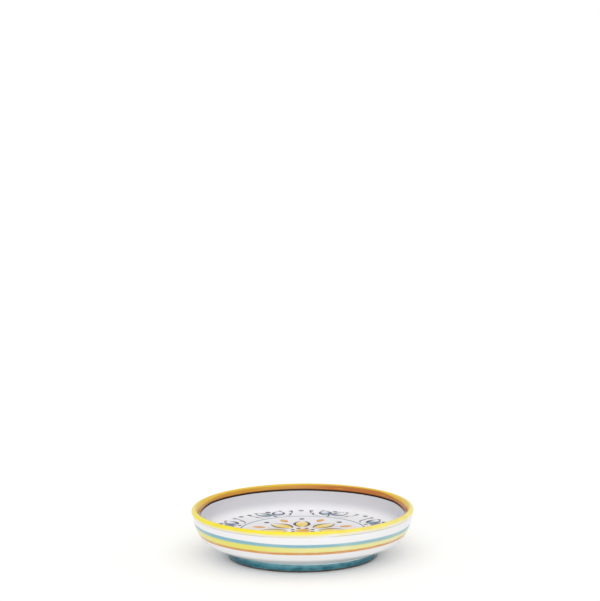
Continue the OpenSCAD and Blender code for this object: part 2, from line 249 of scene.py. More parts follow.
class Section:
    """Outside of the dish in section, from the cove over the rim to the foot.

    Each stretch ends at a named mark. The whole is sampled evenly and eased,
    so that its corners are as soft as glaze leaves them.
    """

    def __init__(self, sizes):
        self.step = SECTION_STEP
        points, self.marks = [], {}
        for name, stretch in self.stretches(sizes):
            for point in stretch:
                if not points or math.dist(point, points[-1]) > SAME_POINT:
                    points.append(point)
            self.marks[name] = sum(math.dist(a, b) for a, b in zip(points, points[1:]))
        self.points = self.even(points)
        for _ in range(EASING_ROUNDS):
            self.ease()

    def stretches(self, s):
        """Names and points of the stretches, for the sizes s."""
        inner = s.wall_round - s.wall_thickness
        wall = (s.dish_radius - s.roll_out - s.wall_round, s.plumb_height)
        roll = (s.dish_radius - s.roll_radius, s.dish_height - s.roll_radius)
        cove_z = s.floor_height + s.cove_round
        reach = inner - s.cove_round
        cove = (wall[0] + math.sqrt(reach ** 2 - (wall[1] - cove_z) ** 2), cove_z)
        lean = math.atan2(cove[1] - wall[1], cove[0] - wall[0])
        face = (math.cos(s.rim_slope), math.sin(s.rim_slope))
        top = (roll[0] - s.roll_radius * face[1], roll[1] + s.roll_radius * face[0])
        # Where the rim's inner face meets the inside curve of the wall
        off = (top[0] - wall[0], top[1] - wall[1])
        run = off[0] * face[0] + off[1] * face[1]
        run -= math.sqrt(run ** 2 - off[0] ** 2 - off[1] ** 2 + inner ** 2)
        corner = (top[0] - run * face[0], top[1] - run * face[1])
        at_dark = (top[1] - s.dark_top) / face[1]
        # Where the roll's underside meets the outside curve of the wall
        apart = math.dist(roll, wall)
        aim = math.atan2(roll[1] - wall[1], roll[0] - wall[0])
        meet = (apart ** 2 + s.wall_round ** 2 - s.roll_radius ** 2) / (2 * apart)
        groove_wall = aim - math.acos(meet / s.wall_round)
        groove_roll = aim - math.acos((meet - apart) / s.roll_radius)
        # Where the wall turns under, and the centre of the flatter curve from there
        turn_in = -math.asin((wall[1] - s.turn_height) / s.wall_round)
        turn_x = wall[0] + s.wall_round * math.cos(turn_in)
        run_x, run_z = turn_x - wall[0], s.turn_height - s.under_height
        chord = math.hypot(run_x, run_z)
        lift = math.sqrt(s.under_round ** 2 - chord ** 2 / 4) / chord
        under = (turn_x - run_x / 2 - run_z * lift, s.turn_height - run_z / 2 + run_x * lift)
        under_start = math.atan2(s.turn_height - under[1], turn_x - under[0])
        foot_turn = -math.acos((s.foot_radius - under[0]) / s.under_round)
        yellow_in = math.pi / 2 + s.yellow_turn

        def on_wall(radius, level):
            return math.asin((level - wall[1]) / radius)
        corner_turn = on_wall(inner, corner[1])
        yield "floor_edge", [(cove[0], s.floor_height)]
        yield "cove", arc(cove, s.cove_round, -math.pi / 2, lean)
        yield "dark_low", arc(wall, inner, lean, on_wall(inner, s.dark_low))
        yield "corner", arc(wall, inner, on_wall(inner, s.dark_low), corner_turn)
        yield "dark_top", [(top[0] - at_dark * face[0], s.dark_top)]
        yield "face_top", [top]
        yield "yellow_in", arc(roll, s.roll_radius, math.pi / 2 + s.rim_slope, yellow_in)
        yield "roll", arc(roll, s.roll_radius, yellow_in, 0)
        yield "groove", arc(roll, s.roll_radius, 0, groove_roll)
        before = groove_wall
        levels = (("teal_top", s.teal_top), ("teal_low", s.teal_low),
                  ("yellow_low", s.yellow_low), ("orange_low", s.orange_low))
        for name, level in levels:
            yield name, arc(wall, s.wall_round, before, on_wall(s.wall_round, level))
            before = on_wall(s.wall_round, level)
        yield "turn", arc(wall, s.wall_round, before, turn_in)
        yield "foot_top", arc(under, s.under_round, under_start, foot_turn)
        yield "foot_low", [(s.foot_radius, s.bare_height)]

    def even(self, points):
        """The same line with points at even steps."""
        total = sum(math.dist(a, b) for a, b in zip(points, points[1:]))
        count = round(total / self.step)
        self.step = total / count
        out, walked, i = [points[0]], 0.0, 0
        for k in range(1, count):
            target = k * self.step
            while walked + math.dist(points[i], points[i + 1]) < target:
                walked += math.dist(points[i], points[i + 1])
                i += 1
            share = (target - walked) / math.dist(points[i], points[i + 1])
            out.append(tuple(a + (b - a) * share for a, b in zip(points[i], points[i + 1])))
        return out + [points[-1]]

    def ease(self):
        """Draws each point a little towards its neighbours."""
        inside = zip(self.points, self.points[1:], self.points[2:])
        eased = [tuple((a + 2 * b + c) / 4 for a, b, c in zip(*trio)) for trio in inside]
        self.points = [self.points[0]] + eased + [self.points[-1]]

    def at(self, walk):
        """Point of the section, a distance along it."""
        i = min(int(walk / self.step), len(self.points) - 2)
        share = walk / self.step - i
        return tuple(a + (b - a) * share for a, b in zip(self.points[i], self.points[i + 1]))

    def loop(self, first, last, depth):
        """Closed section of the coat between two marks, depth thick."""
        start, end = self.marks[first], self.marks[last]
        count = max(3, math.ceil((end - start) / self.step))
        walks = [start + (end - start) * i / count for i in range(count + 1)]
        outside = [self.at(walk) for walk in walks]
        # Every second point is enough on the hidden side
        back = walks[::-2]
        if back[-1] != walks[0]:
            back.append(walks[0])
        total = self.step * (len(self.points) - 1)
        inside = []
        for walk in back:
            before = self.at(max(walk - self.step, 0))
            after = self.at(min(walk + self.step, total))
            run = math.dist(before, after)
            way = ((after[0] - before[0]) / run, (after[1] - before[1]) / run)
            point = self.at(walk)
            inside.append((point[0] + way[1] * depth, point[1] - way[0] * depth))
        return outside + inside


def turn(name, loop):
    """Spins a closed section round the axis to a closed ring or disc."""
    bpy.ops.object.select_all(action="DESELECT")
    bpy.ops.mesh.primitive_circle_add(vertices=len(loop), radius=loop[0][0] + MM)
    piece = bpy.context.object
    piece.name = name
    for vertex, (across, up) in zip(piece.data.vertices, loop):
        vertex.co = (across, 0, up)
    bpy.ops.object.mode_set(mode="EDIT")
    bpy.ops.mesh.select_all(action="SELECT")
    bpy.ops.mesh.spin(steps=TURN_STEPS, angle=math.tau, center=(0, 0, 0), axis=(0, 0, 1))
    bpy.ops.mesh.select_all(action="SELECT")
    bpy.ops.mesh.remove_doubles(threshold=WELD_DISTANCE)
    bpy.ops.mesh.delete_loose()
    bpy.ops.mesh.normals_make_consistent(inside=False)
    bpy.ops.object.mode_set(mode="OBJECT")
    bpy.ops.object.shade_smooth_by_angle(angle=SMOOTH_ANGLE)
    return piece


def throwing_lattice(sizes):
    """Cage that pulls the rim slightly out of true, and lower to the left."""
    rng = random.Random(11)
    bpy.ops.object.add(type="LATTICE", location=(0, 0, sizes.dish_height / 2))
    cage = bpy.context.object
    cage.name = "throwing_cage"
    cage.scale = (2 * sizes.dish_radius, 2 * sizes.dish_radius, sizes.dish_height)
    grid = cage.data
    grid.points_u, grid.points_v, grid.points_w = 6, 6, 3
    grid.interpolation_type_w = "KEY_LINEAR"
    top_layer = (grid.points_w - 1) * grid.points_u * grid.points_v
    for index, point in enumerate(grid.points):
        fall = rng.random()
        draw = rng.random()
        if index >= top_layer:
            # Lowered mostly to the left, and a little by chance
            place = Vector(point.co)
            to_left = 0.5 - place.x
            place.z -= (0.3 * fall + 0.7 * to_left) * sizes.wobble / sizes.dish_height
            place.xy -= place.xy * draw * sizes.wobble / sizes.dish_radius
            point.co_deform = place


def throw(piece):
    """Lets the throwing cage bend a piece, and keeps the result."""
    select(piece)
    bend = piece.modifiers.new("throwing", "LATTICE")
    bend.object = bpy.data.objects["throwing_cage"]
    bpy.ops.object.modifier_apply(modifier=bend.name)


def coat(name, section, first, last, sizes):
    """A coat of the dish between two marks of its section, bent as it was thrown."""
    piece = turn(name, section.loop(first, last, sizes.glaze * COAT_DEPTH))
    throw(piece)
    return piece


def cover(piece, material):
    """Gives a piece one material all over."""
    piece.data.materials.clear()
    piece.data.materials.append(material)


def seat(piece, material, slot, *nodes):
    """Gives a finished piece its glaze and its place in the frame."""
    cover(piece, material)
    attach(piece, "root")
    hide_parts(*nodes)


class Value:
    """A value in a material's node tree, which takes part in plain arithmetic."""

    def __init__(self, glaze, socket):
        self.glaze = glaze
        self.socket = socket

    def __add__(self, other):
        return self.glaze.math("ADD", self, other)

    def __sub__(self, other):
        return self.glaze.math("SUBTRACT", self, other)

    def __rsub__(self, other):
        return self.glaze.math("SUBTRACT", other, self)

    def __mul__(self, other):
        return self.glaze.math("MULTIPLY", self, other)

    def __abs__(self):
        return self.glaze.math("ABSOLUTE", self)


class Glaze:
    """A glazed material under construction, with short names for its nodes."""

    def __init__(self, name, roughness):
        self.material = bpy.data.materials.new(name)
        self.material.use_nodes = True
        self.tree = self.material.node_tree
        self.shader = self.tree.nodes["Principled BSDF"]
        self.shader.inputs["Roughness"].default_value = roughness
        self.place = self.node("TexCoord").outputs["Object"]
        split = self.node("SeparateXYZ", Vector=self.place)
        self.x, self.y, self.z = (Value(self, socket) for socket in split.outputs)
        self.radius = self.math("SQRT", self.x * self.x + self.y * self.y)

    def node(self, kind, **inputs):
        """A new node, with its inputs set by their names."""
        node = self.tree.nodes.new("ShaderNode" + kind)
        for name, value in inputs.items():
            self.put(value, node.inputs[name.replace("_", " ")])
        return node

    def put(self, value, socket):
        """Sets a socket to a number or a colour, or links it to a value."""
        if isinstance(value, Value):
            value = value.socket
        if isinstance(value, bpy.types.NodeSocket):
            self.tree.links.new(value, socket)
        elif hasattr(value, "__len__") and len(value) == 3 and len(socket.default_value) == 4:
            socket.default_value = (*value, 1)
        else:
            socket.default_value = value

    def math(self, operation, first, second=0.0):
        node = self.node("Math")
        node.operation = operation
        self.put(first, node.inputs[0])
        self.put(second, node.inputs[1])
        return Value(self, node.outputs[0])

    def mix(self, share, first, second):
        """The second colour laid over the first, by a share of 0 to 1."""
        node = self.node("Mix")
        node.data_type = "RGBA"
        self.put(share, node.inputs["Factor"])
        self.put(first, node.inputs[6])
        self.put(second, node.inputs[7])
        return Value(self, node.outputs[2])

    def step(self, value, start, end):
        """0 before start and 1 past end, eased between."""
        turned = float(start > end)
        node = self.node("MapRange", Value=value, From_Min=min(start, end),
                         From_Max=max(start, end), To_Min=turned, To_Max=1 - turned)
        node.interpolation_type = "SMOOTHSTEP"
        return Value(self, node.outputs["Result"])

    def edge(self, value, at, start, end):
        """A step near a level, from start to end in millimetres past it."""
        return self.step(value, at + start * MM, at + end * MM)

    def stripe(self, value, low, rise, top, fall):
        """1 between two heights; rise and fall are the millimetres of its edges."""
        return self.edge(value, low, *rise) * self.edge(value, top, *fall)

    def to_right(self, start, end):
        """A step from left to right, in millimetres from the middle."""
        return self.edge(self.x, 0, start, end)

    def sideways(self, start, end):
        """A step from the middle to both sides, in millimetres."""
        return self.edge(abs(self.x), 0, start, end)

    def noise(self, size, stretch=(1, 1, 1), detail=2.0, seed=0.0):
        """Noise of 0 to 1 with lumps about size millimetres across."""
        spot = self.node("Mapping", Vector=self.place, Scale=stretch, Location=(seed, seed, seed))
        scale = 1 / (size * MM)
        node = self.node("TexNoise", Vector=spot.outputs[0], Scale=scale, Detail=detail)
        return Value(self, node.outputs["Fac"])

    def patches(self, size, start, end, detail=2.0, seed=0.0):
        """Soft patches of 1 where the noise is past a step."""
        return self.step(self.noise(size, detail=detail, seed=seed), start, end)

    def spots(self, size, start, end):
        """Round spots of 1, about size millimetres apart."""
        node = self.node("TexVoronoi", Vector=self.place, Scale=1 / (size * MM))
        return self.step(Value(self, node.outputs["Distance"]), start, end)

    def stray(self, value, reach, size, seed=0.0):
        """Value that strays by up to about reach, as a brush edge does."""
        wander = self.noise(size, seed=seed) - 0.5
        ragged = self.noise(size / 14, (1, 1, 0.4), seed=seed + 3) - 0.5
        return value + (wander * (2 * reach) + ragged * (0.5 * reach))

    def streaks(self, seed=0.0):
        """Streaks that a loaded brush leaves round the turning dish."""
        return self.noise(9, (1, 1, 22), 3.0, seed)

    def finish(self, colour_out, brushed=0.0):
        """Links the colour and the fine relief of the fired surface."""
        self.put(colour_out, self.shader.inputs["Base Color"])
        relief = self.noise(0.9, detail=1.0, seed=5) * 0.05 + self.noise(7, detail=1.0, seed=7)
        if brushed:
            relief = relief + self.streaks(9) * brushed
        relief = relief - self.spots(6, 0.05, 0.0) * 0.5
        bump = self.node("Bump", Strength=1.0, Distance=RELIEF_DEPTH, Height=relief)
        self.put(bump.outputs[0], self.shader.inputs["Normal"])
        return self.material


def shade(colour_in, factor, lift=0.0):
    """A colour times a factor, lifted by an amount, and 1 at most."""
    return tuple(min(1.0, factor * c + lift) for c in colour_in)


def white_base(glaze, colours):
    """White tin glaze, cloudy where it lies thin over the clay, with a few specks."""
    thin = glaze.mix(0.05, colours.white, colours.clay)
    base = glaze.mix(glaze.patches(11, 0.58, 0.9, 3.0, 2), colours.white, thin)
    specks = glaze.spots(5, 0.06, 0.03) * glaze.patches(9, 0.64, 0.66, seed=31)
    return glaze.mix(specks * 0.5, base, colours.clay)


def rim_angle(glaze, sizes):
    """Angle round the middle of the rolled edge, outside 0, crest a quarter turn."""
    across = glaze.radius - (sizes.dish_radius - sizes.roll_radius)
    up = glaze.z - (sizes.dish_height - sizes.roll_radius)
    return glaze.math("ARCTAN2", up, across)


def rim_yellow_edge(glaze, angle):
    """Share of yellow on the outside of the roll, which thins towards its underside."""
    fuller = glaze.patches(30, 0.4, 0.62, seed=61) * 0.1 + glaze.to_right(60, -50) * 0.3
    return glaze.step(angle + fuller, -0.65, 0.7)


def rim_yellow_colour(glaze, colours):
    """Yellow of the rim, deeper where the brush left more, and a painted highlight to the right.
    """
    thick = glaze.patches(13, 0.5, 0.78, 3.0, 17) * 0.45
    out = glaze.mix(thick, colours.yellow, colours.yellow_deep)
    # Painted highlight: paler towards the right
    return glaze.mix(glaze.to_right(0, 55) * 0.16, out, colours.white)


def foot_white(glaze, top):
    """Share of white at the top of the foot, which comes down further to the right."""
    level = glaze.stray(glaze.z + glaze.x * FOOT_LEAN, 0.15 * MM, 18, 27)
    return glaze.edge(level, top, -0.25, 0.05)


def outside_paint(name, groove, foot_top, sizes, colours):
    """Glaze of the outside: white, with the painted bands and the rim's yellow edge."""
    glaze = Glaze(name, 0.13)
    # Painted shade where the wall turns under, painted floor light just above the foot
    base = white_base(glaze, colours)
    turn_in = sizes.turn_height
    level = glaze.stray(glaze.z, 0.3 * MM, 20, 33)
    thin = glaze.stripe(level, turn_in, (-4.5, -2), turn_in, (0.9, -1.1))
    base = glaze.mix(thin, base, colours.white_shaded_under)
    base = glaze.mix(glaze.edge(level, turn_in, -2, -4.5), base, colours.white_lit_above_foot)
    # Below the foot's top line the belly takes the foot's teal, half deep as painted shade
    teal = glaze.mix(0.5, colours.teal, colours.teal_deep)
    base = glaze.mix(foot_white(glaze, foot_top), teal, base)
    # The yellow band is strongest to the left, where the brush was full
    streak = glaze.streaks()
    watery = glaze.noise(34, (1, 1, 0.3), 2.0, 4)
    body = 0.98 - glaze.to_right(-30, 4) * 0.2
    body = body - glaze.step(watery, 0.45, 0.75) * 0.2 - glaze.step(streak, 0.5, 0.8) * 0.25
    level = glaze.stray(glaze.z, 0.16 * MM, 26)
    band = glaze.stripe(level, sizes.yellow_low, (-0.65, -0.15), sizes.teal_low, (0.45, -0.05))
    out = glaze.mix(band * body, base, colours.yellow_pale)
    # The orange line rises a little to both sides
    sideways = glaze.sideways(12, 40)
    body = 1.0 - glaze.step(streak, 0.42, 0.8) * 0.5
    level = glaze.stray(glaze.z - sideways * ORANGE_RISE, 0.14 * MM, 19, 8)
    line = glaze.stripe(level, sizes.orange_low, (-0.25, 0.15), sizes.yellow_low, (0.1, -0.7))
    out = glaze.mix(line * body, out, colours.orange_line)
    # The teal line was painted a little out of level, and widens to both sides
    body = 0.95 - glaze.step(watery, 0.4, 0.8) * 0.3
    level = glaze.stray(glaze.z + glaze.x * TEAL_LEAN, 0.14 * MM, 22, 14)
    rise = glaze.edge(level, sizes.teal_low, -1.2, -0.05)
    fall = glaze.edge(level - sideways * TEAL_SWELL, sizes.teal_top, -0.05, -0.7)
    out = glaze.mix(rise * fall * body, out, colours.teal_pale)
    # Painted shade in the groove, where glaze also pools, more of it to both sides
    groove_shade = glaze.stripe(glaze.z, groove, (-0.35, -0.05), groove, (0.3, 0))
    pooled = glaze.noise(21, seed=51) * 0.5 + 0.09 + sideways * 0.4
    out = glaze.mix(groove_shade * glaze.step(pooled, 0.25, 0.52), out, colours.groove)
    # The rim's yellow, which ends on the rolled edge
    angle = rim_angle(glaze, sizes)
    above = glaze.edge(glaze.z, sizes.teal_top, 2, 3)
    ending = rim_yellow_edge(glaze, angle) * above
    out = glaze.mix(ending, out, rim_yellow_colour(glaze, colours))
    # Yellow that ran a little way under the rolled edge, and a painted reflection of the roll
    smear_and_reflection = glaze.step(glaze.stray(angle, 0.16, 24, 20), -1.5, -0.5) * above
    smear_and_reflection = smear_and_reflection * glaze.patches(15, 0.3, 0.6, seed=41) * 0.45
    return glaze.finish(glaze.mix(smear_and_reflection, out, colours.yellow), 0.35)


def rim_paint(name, sizes, colours):
    """Glaze of the rim: yellow, then orange, then the dark line, then white."""
    glaze = Glaze(name, 0.14)
    base = white_base(glaze, colours)
    # The angle runs on past half a turn down the inside of the dish
    angle = rim_angle(glaze, sizes)
    inside = glaze.math("LESS_THAN", angle, -math.pi / 2)
    angle = glaze.stray(angle + inside * math.tau, 0.07, 23, 6)
    # The yellow deepens to gold as it turns in over the crest, in part painted shade
    gold_and_shade = glaze.step(angle, math.radians(70), math.radians(135))
    crest = glaze.mix(gold_and_shade, rim_yellow_colour(glaze, colours), colours.yellow_deep)
    crest = glaze.mix(rim_yellow_edge(glaze, angle), base, crest)
    # The orange is redder and darker to the right and down the face, in part painted shade
    to_right = glaze.to_right(-14, 26)
    deep = glaze.step(angle, math.radians(150), math.radians(205)) * 0.5 + to_right * 0.8
    orange = glaze.mix(deep, colours.orange, colours.orange_deep)
    streak = glaze.step(glaze.streaks(2), 0.5, 0.8) * 0.4
    orange = glaze.mix(streak, orange, colours.yellow_deep)
    # The orange comes up further to the right, and stays low at both ends
    turn_in = math.pi / 2 + sizes.yellow_turn
    come_up = angle + to_right * 0.12 - glaze.sideways(42, 58) * 0.75
    out = glaze.mix(glaze.step(come_up, turn_in - 0.2, turn_in + 0.25), crest, orange)
    # The dark line lies a little lower to the right, and dips at both ends
    dip = glaze.sideways(52, 59) * DARK_DIP + to_right * DARK_LEAN
    level = glaze.stray(glaze.z + dip, 0.1 * MM, 17, 11)
    painted = glaze.edge(level, sizes.dark_low + DARK_WIDTH, 0.45, -0.15)
    out = glaze.mix(painted, out, colours.dark)
    glaze.put(0.35 - painted * 0.25, glaze.shader.inputs["Specular IOR Level"])
    # Painted shade: the white is greyer on the steep of the inner wall
    steep = glaze.edge(glaze.z, sizes.floor_height, 0.5, 5) * 0.8
    base = glaze.mix(steep, base, colours.white_wall_shade)
    below = glaze.edge(level, sizes.dark_low, 0.05, -0.1)
    return glaze.finish(glaze.mix(below, out, base), 0.35)


def plain_white(name, colours):
    """White glaze of the floor and of the recess under it."""
    glaze = Glaze(name, 0.12)
    return glaze.finish(white_base(glaze, colours))


def foot_paint(name, top, sizes, colours):
    """Streaky teal of the foot, with painted shade low down and to both sides, white at the top.
    """
    glaze = Glaze(name, 0.16)
    bare = sizes.bare_height
    streak = glaze.step(glaze.noise(6, (1, 1, 3), 3.0, 12), 0.4, 0.7)
    # Painted shade: deeper teal towards the table and to both sides, over the streaks
    thick = glaze.edge(glaze.z, bare, 4.2, 1) * 0.75 + streak * 0.45
    thick = thick + glaze.sideways(20, 42) * 0.5
    out = glaze.mix(thick, colours.teal, colours.teal_deep)
    # The top of the foot takes the greyed white, painted shade
    out = glaze.mix(foot_white(glaze, top), out, colours.white_shaded_under)
    # Painted shade: darkened clay along the bare edge, where the foot meets the table
    foot_edge_shade = glaze.edge(glaze.stray(glaze.z, 0.2 * MM, 14, 3), bare, 0.5, 0) * 0.75
    return glaze.finish(glaze.mix(foot_edge_shade, out, shade(colours.clay, 0.3)), 0.5)


def bare_clay(name, sizes, colours):
    """Fired red earthenware without glaze: matt and grainy, with painted shade at the table."""
    glaze = Glaze(name, 0.85)
    grain = glaze.patches(0.5, 0.3, 0.7, 4.0, 1)
    out = glaze.mix(grain, shade(colours.clay, 0.45), colours.clay)
    patch = glaze.patches(8, 0.5, 0.8, 3.0, 2) * 0.6
    out = glaze.mix(patch, out, shade(colours.clay, 1.25))
    # Painted shade along the outer edge of the foot, where the teal stops and it meets the table
    table_edge_shade = glaze.edge(glaze.radius, sizes.foot_radius, -1.2, -0.5)
    table_edge_shade = table_edge_shade * glaze.edge(glaze.z, 0, 1.5, 1) * 0.85
    return glaze.finish(glaze.mix(table_edge_shade, out, shade(colours.clay, 0.2, 0.02)))


def brush_colour(name, full, thin, fades=(0.35, 1.0), fading=0.55):
    """Painted colour that pools at the edges of a stroke and thins along it."""
    glaze = Glaze(name, 0.15)
    glaze.shader.inputs["Specular IOR Level"].default_value = 0.15

    def attribute(label):
        node = glaze.node("Attribute")
        node.attribute_name = label
        return Value(glaze, node.outputs["Fac"])
    pooled = glaze.step(attribute("across"), 0.45, 0.95)
    dry = glaze.step(attribute("along"), *fades)
    mottle = glaze.patches(0.8, 0.3, 0.75, 3.0, 9)
    share = dry * fading + mottle * 0.35 - pooled * 0.4
    return glaze.finish(glaze.mix(share, full, thin))


def comma(share):
    """Width of a stroke that is set down full and lifted to a point."""
    return max(0.06, math.sin(math.pi * share ** 0.75) ** 0.8)


def tendril(share):
    """Width of a stroke that starts full and thins to a hair."""
    return max(0.2, 1 - share) ** 0.8


def dab(share):
    """Width of a round dab."""
    return max(0.1, math.sqrt(max(0.0, 1 - (2 * share - 1) ** 2)))


def wash(share):
    """Width of a leaf or petal, pointed at both ends."""
    return max(0.03, (4 * share * (1 - share)) ** 0.85)


class Brush:
    """Lays strokes of one colour on the floor, each on a grid of its own."""

    def __init__(self, name, floor, relief, seed):
        self.name = name
        self.floor = floor
        self.relief = relief
        self.rng = random.Random(seed)
        self.strokes = []

    def lay(self, start, end, bend, width, shape, cells=STROKE_CELLS):
        """Paints from start to end, bowed sideways by bend."""
        bpy.ops.object.select_all(action="DESELECT")
        bpy.ops.mesh.primitive_grid_add(x_subdivisions=cells[0], y_subdivisions=cells[1], size=2)
        stroke = bpy.context.object
        start, end = Vector(start), Vector(end)
        way = end - start
        side = Vector((-way.y, way.x)).normalized()
        seed = self.rng.random() * NOISE_FIELD
        mesh = stroke.data
        along = mesh.attributes.new("along", "FLOAT", "POINT")
        across = mesh.attributes.new("across", "FLOAT", "POINT")
        for index, vertex in enumerate(mesh.vertices):
            run = (vertex.co.x + 1) / 2
            out = vertex.co.y
            spot = (5 * run, 2 * math.copysign(1, out) + seed, seed)
            ragged = 1 + RAGGED_EDGE * noise.noise(spot)
            bow = bend * 4 * run * (1 - run)
            offset = bow + out * width / 2 * shape(run) * ragged
            place = start + way * run + side * offset
            lift = self.relief * (1 - out * out) ** 0.5 * min(1.0, 2 * shape(run))
            vertex.co = (place.x, place.y, self.floor + lift)
            along.data[index].value = run
            across.data[index].value = abs(out)
        self.strokes.append(stroke)

    def dot(self, centre, size):
        """A round berry, a touch longer than it is wide."""
        turned = self.rng.random() * math.pi
        half = Vector((math.cos(turned), math.sin(turned))) * size * 0.52
        self.lay(Vector(centre) - half, Vector(centre) + half, 0, size, dab, DAB_CELLS)

    def lift_off(self, material, slot, node):
        """Joins the strokes to one piece, gives them thickness and seats them."""
        select(*self.strokes)
        bpy.ops.object.join()
        piece = bpy.context.object
        piece.name = self.name
        body = piece.modifiers.new("body", "SOLIDIFY")
        body.thickness = STROKE_BODY
        body.offset = -1
        bpy.ops.object.modifier_apply(modifier=body.name)
        bpy.ops.object.shade_smooth_by_angle(angle=SMOOTH_ANGLE)
        seat(piece, material, slot, node)


def polar(radius, angle):
    """Point on the floor, as X and Y."""
    return Vector((radius * math.cos(angle), radius * math.sin(angle)))


class CoasterOperator(bpy.types.Operator):
    """Shared ways to reach the settings"""
    bl_options = {"REGISTER", "UNDO"}

    def settings(self, context):
        scene = context.scene
        return scene.coaster_sizes, scene.coaster_paint, scene.coaster_colours


class COASTER_OT_clay(CoasterOperator):
    """Finish the thrown dish and its foot ring as bare earthenware"""
    bl_idname = "coaster.clay"
    bl_label = "Clay"

    def execute(self, context):
        sizes, _, colours = self.settings(context)
        material = bare_clay("bare earthenware", sizes, colours)
        for name in ("clay_dish", "clay_foot_ring"):
            cover(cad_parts[name], material)
        return {"FINISHED"}


class COASTER_OT_inside(CoasterOperator):
    """Glaze the floor and the inner wall white"""
    bl_idname = "coaster.inside"
    bl_label = "Inside glaze"

    def execute(self, context):
        sizes, _, colours = self.settings(context)
        section = Section(sizes)
        edge = section.at(0)[0]
        top, bottom = sizes.floor_height, sizes.floor_height - sizes.glaze
        steps = 24
        loop = [(edge * i / steps, top) for i in range(steps + 1)]
        # Every fourth point is enough on the hidden side
        loop += [(edge * i / steps, bottom) for i in range(steps, -1, -4)]
        floor = turn("white_floor", loop)
        wall = coat("white_inner_wall", section, "floor_edge", "dark_low", sizes)
        seat(floor, plain_white("white glaze, floor", colours), "white_glaze", "floor_glaze")
        wall_paint = rim_paint("white glaze, inner wall", sizes, colours)
        seat(wall, wall_paint, "white_glaze", "inner_wall_glaze")
        return {"FINISHED"}


class COASTER_OT_rim(CoasterOperator):
    """Paint the rim: dark line, orange inside and yellow crest"""
    bl_idname = "coaster.rim"
    bl_label = "Rim"

    def execute(self, context):
        sizes, _, colours = self.settings(context)
        section = Section(sizes)
        pieces = (
            ("dark_rim_line", "dark_low", "dark_top", "dark_line", "inner_dark_line"),
            ("orange_rim_face", "dark_top", "yellow_in", "orange", "inner_rim_orange"),
            ("yellow_rim_crest", "yellow_in", "roll", "yellow", "rim_yellow"),
        )
        for name, first, last, slot, node in pieces:
            piece = coat(name, section, first, last, sizes)
            seat(piece, rim_paint(name.replace("_", " "), sizes, colours), slot, node)
        return {"FINISHED"}


class COASTER_OT_bands(CoasterOperator):
    """Glaze the outside and paint its teal, yellow and orange bands"""
    bl_idname = "coaster.bands"
    bl_label = "Outside bands"

    def execute(self, context):
        sizes, _, colours = self.settings(context)
        section = Section(sizes)
        pieces = (
            ("white_collar", "roll", "teal_top", "white_glaze", "collar_glaze"),
            ("teal_line_band", "teal_top", "teal_low", "pale_teal", "teal_line"),
            ("yellow_wall_band", "teal_low", "yellow_low", "pale_yellow", "yellow_band"),
            ("orange_wall_line", "yellow_low", "orange_low", "orange", "orange_line"),
            ("white_belly", "orange_low", "foot_top", "white_glaze", "belly_glaze"),
        )
        groove = section.at(section.marks["groove"])[1]
        foot_top = section.at(section.marks["foot_top"])[1]
        for name, first, last, slot, node in pieces:
            piece = coat(name, section, first, last, sizes)
            paint = outside_paint(name.replace("_", " "), groove, foot_top, sizes, colours)
            seat(piece, paint, slot, node)
        return {"FINISHED"}


class COASTER_OT_foot(CoasterOperator):
    """Paint the outside of the foot teal and glaze its inside white"""
    bl_idname = "coaster.foot"
    bl_label = "Foot"

    def execute(self, context):
        sizes, _, colours = self.settings(context)
        section = Section(sizes)
        foot = coat("teal_foot", section, "foot_top", "foot_low", sizes)
        foot_top = section.at(section.marks["foot_top"])[1]
        seat(foot, foot_paint("teal foot", foot_top, sizes, colours), "teal", "foot_teal")
        inner = sizes.foot_radius - sizes.foot_width
        ceiling = sizes.recess_height
        corner = (inner - sizes.recess_round, ceiling - sizes.recess_round)
        steps = 12
        under = [(inner, sizes.bare_height)]
        under += arc(corner, sizes.recess_round, 0, math.pi / 2)
        under += [(corner[0] * i / steps, ceiling) for i in range(steps - 1, -1, -1)]
        above = [(0, ceiling + sizes.glaze), (corner[0], ceiling + sizes.glaze)]
        above += arc(corner, sizes.recess_round + sizes.glaze, math.pi / 2, 0)
        above += [(inner + sizes.glaze, sizes.bare_height)]
        recess = turn("white_recess", under + above)
        seat(recess, plain_white("white glaze, recess", colours), "white_glaze", "recess_glaze")
        return {"FINISHED"}


